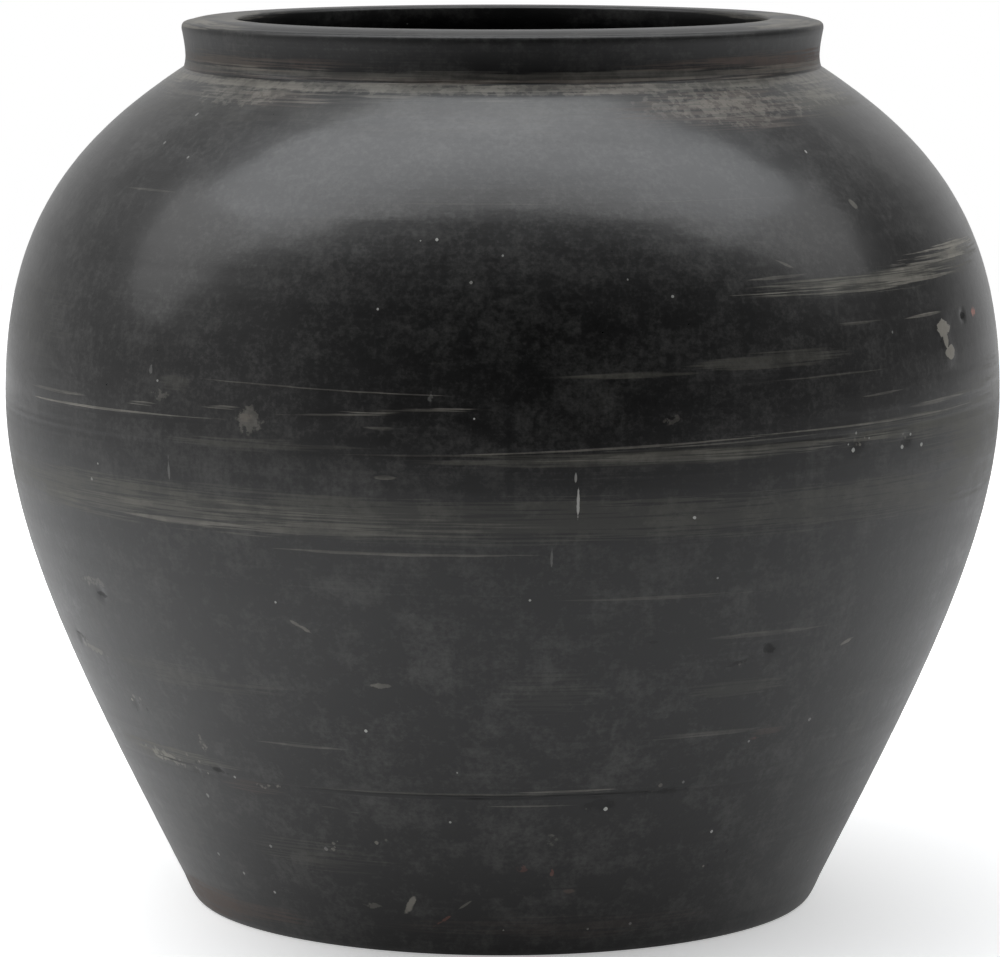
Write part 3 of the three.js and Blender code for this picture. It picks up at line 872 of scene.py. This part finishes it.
class JAR_OT_shoulder_ring(bpy.types.Operator):
    """Adds the third ring of wall, which closes in to the neck"""

    bl_idname = "jar.shoulder_ring"
    bl_label = "Shoulder Ring"

    def execute(self, context):
        shape = context.scene.jar_shape
        wall = Wall(shape)
        outside = wall.face(rows(BELLY_HEIGHT, NECK_HEIGHT, 102, (BELLY_HEIGHT, NECK_HEIGHT)))
        throat = np.array([shape.throat, NECK_HEIGHT])
        inside = wall.face(np.linspace(THROAT_FOOT, BELLY_HEIGHT, 16), shape.wall)
        pull = (shape.throat, inside[0, 1] + shape.wall / 2)
        into_throat = curve(throat, pull, inside[0], 8)[:-1]
        top, under = ridge(outside[-1], throat, shape), groove(outside[0], inside[-1], shape)
        runs = ((outside, 1), (top, 0), (into_throat, -1), (inside, -1), (under, 0))
        clay, span = "burnished clay of the shoulder", (BELLY_HEIGHT, NECK_HEIGHT)
        make_ring(context, "shoulder_ring_clay", "shoulder_wall", clay, span, runs)
        return {"FINISHED"}


# Profile of the collar: how far its hollow lies inside the lip, and then heights and radii of its turning
# points.
WAIST_INSET = 1.4 * MM
HOLLOW_PULL, HOLLOW_TOP = 0.345, 0.3508
LIP_FOOT, LIP_PULL, LIP_TOP, ROLL_FOOT = 0.3515, 0.3535, 0.3536, 0.3534
LIP_EDGE, CREST_PULL, CREST_OUT, CREST_IN = 0.1258, 0.1218, 0.118, 0.1088


class JAR_OT_rim_collar(bpy.types.Operator):
    """Adds the collar with its thick rolled rim"""

    bl_idname = "jar.rim_collar"
    bl_label = "Rim Collar"

    def execute(self, context):
        shape, finish = context.scene.jar_shape, context.scene.jar_finish
        wall = Wall(shape)
        neck, throat = (wall.neck, NECK_HEIGHT), (shape.throat, NECK_HEIGHT)
        waist = RIM_RADIUS - WAIST_INSET
        hollow_middle, shelf = (waist, NECK_HEIGHT + 6 * MM), (shape.throat, shape.throat_top)
        lip_edge, roll_foot = (LIP_EDGE, LIP_TOP), (shape.mouth, ROLL_FOOT)
        hollow = np.vstack([
            curve(neck, (waist - 0.3 * MM, NECK_HEIGHT + 3 * MM), hollow_middle, 8)[:-1],
            curve(hollow_middle, (waist + 0.2 * MM, HOLLOW_PULL), (RIM_RADIUS, HOLLOW_TOP), 8),
        ])
        lip = curve((RIM_RADIUS, LIP_FOOT), (RIM_RADIUS, LIP_PULL), lip_edge, 8)
        top = curve(lip_edge, (CREST_PULL, TOP), (CREST_OUT, TOP), 12)[1:]
        roll = curve((CREST_IN, TOP), (shape.mouth, TOP), roll_foot, 14)
        undercut = curve(roll_foot, (shape.mouth, shape.throat_top), shelf, 14)[1:]
        under = groove(np.array(neck), np.array(throat), shape)
        outline = np.vstack([hollow, lip, top, roll, undercut, throat, under])
        face = np.zeros(len(outline))
        piece = turned("rim_collar_clay", outline, directions(outline), face, shape)
        material = clay_material("clay of the rim", shape, finish, NECK_HEIGHT / MM, TOP / MM)
        finish_piece(piece, "rim_collar", material)
        return {"FINISHED"}


PLAIN, COOL = (1.0, 1.0, 1.0), (0.955, 0.975, 1.0)
# Soft panels: left, right, front and back edges as shares of their height over the shoulder, level and
# colour.
PANELS = {
    "far front panel": (-0.6, 0.6, -1.6, -0.62, 0.04, PLAIN),
    "front panel": (-1.1, 1.1, -0.55, -0.385, 0.82, PLAIN),
    "middle panel": (-1.1, 1.1, -0.385, 0.27, 1.0, COOL),
    "left panel": (-4.4, -1.1, -0.5, 0.5, 0.5, PLAIN),
    "right panel": (1.1, 2.9, -0.5, 0.45, 0.48, PLAIN),
}
# Glow and shade of the floor: steps across it, each with its two places in metres, and the values there
# where they aren't 0 and 1.
GLOW_BESIDE, GLOW_FAR_LEFT = (-0.35, 0.05), (-0.95, -0.45)
GLOW_LEFT, GLOW_LEFT_BACK = (-0.24, -0.02, 0.34, 0.0), (-0.08, 0.12, 1.0, 0.5)
GLOW_SEEN, SHADE_ASIDE = (-0.15, 1.2, 0.22, 0.5), (0.9, 1.8, 0.9, 0.4)
SHADE_SEEN = 0.9  # shade of the floor to the camera
# Levels of the walls of the room, by degrees round from the camera's side.
ROOM = (
    (-180, 0.6), (-150, 0.5), (-125, 0.42), (-60, 0.42), (-42, 0.2), (-22, 0.06), (0, 0.01), (25, 0.02),
    (55, 0.12), (94, 0.17), (120, 0.15), (136, 0.34), (155, 0.62),
)


class JAR_OT_studio(bpy.types.Operator):
    """Adds the camera, the pale floor, the soft panels and the room"""

    bl_idname = "jar.studio"
    bl_label = "Studio"

    def execute(self, context):
        studio = context.scene.jar_studio
        self.camera(context, studio)
        self.floor(context, studio)
        self.panels(context, studio)
        self.room(context)
        context.scene.view_settings.view_transform = "Standard"
        return {"FINISHED"}

    def camera(self, context, studio):
        """A camera in front of the jar that looks slightly down."""
        data = bpy.data.cameras.new("camera")
        data.lens = studio.lens
        data.sensor_width = 36
        camera = bpy.data.objects.new("camera", data)
        camera.location = (studio.camera_side, -studio.camera_distance, studio.camera_height)
        camera.rotation_euler = (math.pi / 2 - studio.camera_pitch, 0, 0)
        context.scene.collection.objects.link(camera)
        context.scene.camera = camera

    def floor(self, context, studio):
        """A flat sheet of four corners. It glows a little beside and behind the jar, more near its left
        side, and is whiter to the camera than to the jar."""
        side, front, back = studio.floor_side, -studio.floor_front, studio.floor_back
        corners = ((-side, front), (side, front), (side, back), (-side, back))
        mesh = bpy.data.meshes.new("floor")
        mesh.from_pydata([(x, y, -FLOOR_DROP) for x, y in corners], [], [(0, 1, 2, 3)])
        floor = bpy.data.objects.new("floor", mesh)
        context.scene.collection.objects.link(floor)
        material = bpy.data.materials.new("pale floor")
        material.use_nodes = True
        tree = material.node_tree
        shader = tree.nodes["Principled BSDF"]
        shader.inputs["Roughness"].default_value = 0.9
        shader.inputs["Emission Color"].default_value = (1, 1, 1, 1)
        where = add(tree, "ShaderNodeSeparateXYZ", {0: add(tree, "ShaderNodeTexCoord").outputs["Object"]})
        x, y = where.outputs[0], where.outputs[1]
        beside = ramp(tree, y, *GLOW_BESIDE, 0.0, studio.floor_glow)
        near_left = calc(tree, "MULTIPLY", ramp(tree, x, *GLOW_LEFT), ramp(tree, x, *GLOW_FAR_LEFT))
        near_left = calc(tree, "MULTIPLY", near_left, ramp(tree, y, *GLOW_LEFT_BACK))
        seen = add(tree, "ShaderNodeLightPath").outputs["Is Camera Ray"]
        whiter = calc(tree, "MULTIPLY", seen, ramp(tree, y, *GLOW_SEEN))
        dimmer = ramp(tree, calc(tree, "ABSOLUTE", x), *SHADE_ASIDE)
        shade = calc(tree, "MAXIMUM", dimmer, calc(tree, "MULTIPLY", seen, SHADE_SEEN))
        tree.links.new(shade, shader.inputs["Base Color"])
        glow = calc(tree, "ADD", calc(tree, "ADD", beside, near_left), whiter)
        tree.links.new(glow, shader.inputs["Emission Strength"])
        mesh.materials.append(material)

    def panels(self, context, studio):
        """Soft panels side by side over the jar. Each one's power is its radiance times its area times
        pi."""
        drop = studio.panel_height - SHOULDER_LEVEL
        for name, (left, right, front, back, level, tint) in PANELS.items():
            width, depth = (right - left) * drop, (back - front) * drop
            light = bpy.data.lights.new(name, "AREA")
            light.shape = "RECTANGLE"
            light.size, light.size_y = width, depth
            light.energy = level * studio.panel_radiance * width * depth * math.pi
            light.color = tint
            panel = bpy.data.objects.new(name, light)
            panel.location = ((left + right) / 2 * drop, (front + back) / 2 * drop, studio.panel_height)
            context.scene.collection.objects.link(panel)

    def room(self, context):
        """A room that is pale behind and beside the jar and dark behind the camera, and white to the
        camera."""
        world = bpy.data.worlds.new("room")
        context.scene.world = world
        world.use_nodes = True
        tree = world.node_tree
        tree.nodes.clear()
        way = add(tree, "ShaderNodeSeparateXYZ", {0: add(tree, "ShaderNodeTexCoord").outputs["Generated"]})
        turn = calc(tree, "ARCTAN2", way.outputs[0], calc(tree, "MULTIPLY", way.outputs[1], -1.0))
        along = calc(tree, "ADD", calc(tree, "DIVIDE", turn, 2 * math.pi), 0.5)
        walls = add(tree, "ShaderNodeValToRGB", {0: along})
        elements = walls.color_ramp.elements
        while len(elements) < len(ROOM):
            elements.new(0.5)
        for element, (degrees, level) in zip(elements, ROOM):
            element.position = degrees / 360 + 0.5
            element.color = (level, level, level, 1)
        seen = add(tree, "ShaderNodeLightPath").outputs["Is Camera Ray"]
        mixed = blend(tree, seen, walls.outputs[0], (1, 1, 1))
        background = add(tree, "ShaderNodeBackground", {0: mixed})
        output = add(tree, "ShaderNodeOutputWorld")
        tree.links.new(background.outputs[0], output.inputs[0])


class JAR_PT_sidebar(bpy.types.Panel):
    """Lists the pieces of the jar"""

    bl_idname = "JAR_PT_sidebar"
    bl_label = "Clay Jar"
    bl_space_type = "VIEW_3D"
    bl_region_type = "UI"
    bl_category = "Clay Jar"

    def draw(self, context):
        for step in STEPS:
            self.layout.operator(step.bl_idname)


STEPS = (
    JAR_OT_studio,
    JAR_OT_materials,
    JAR_OT_floor_slab,
    JAR_OT_foot_ring,
    JAR_OT_belly_ring,
    JAR_OT_shoulder_ring,
    JAR_OT_rim_collar,
)
SETTINGS = {"jar_shape": JarShape, "jar_finish": JarFinish, "jar_studio": JarStudio}


def register():
    for cls in (*SETTINGS.values(), *STEPS, JAR_PT_sidebar):
        bpy.utils.register_class(cls)
    for name, cls in SETTINGS.items():
        setattr(bpy.types.Scene, name, bpy.props.PointerProperty(type=cls))


def unregister():
    for name in SETTINGS:
        delattr(bpy.types.Scene, name)
    for cls in (JAR_PT_sidebar, *reversed(STEPS), *SETTINGS.values()):
        bpy.utils.unregister_class(cls)


def main():
    register()
    for step in STEPS:
        getattr(bpy.ops.jar, step.bl_idname.split(".")[1])()


if __name__ == "__main__":
    main()
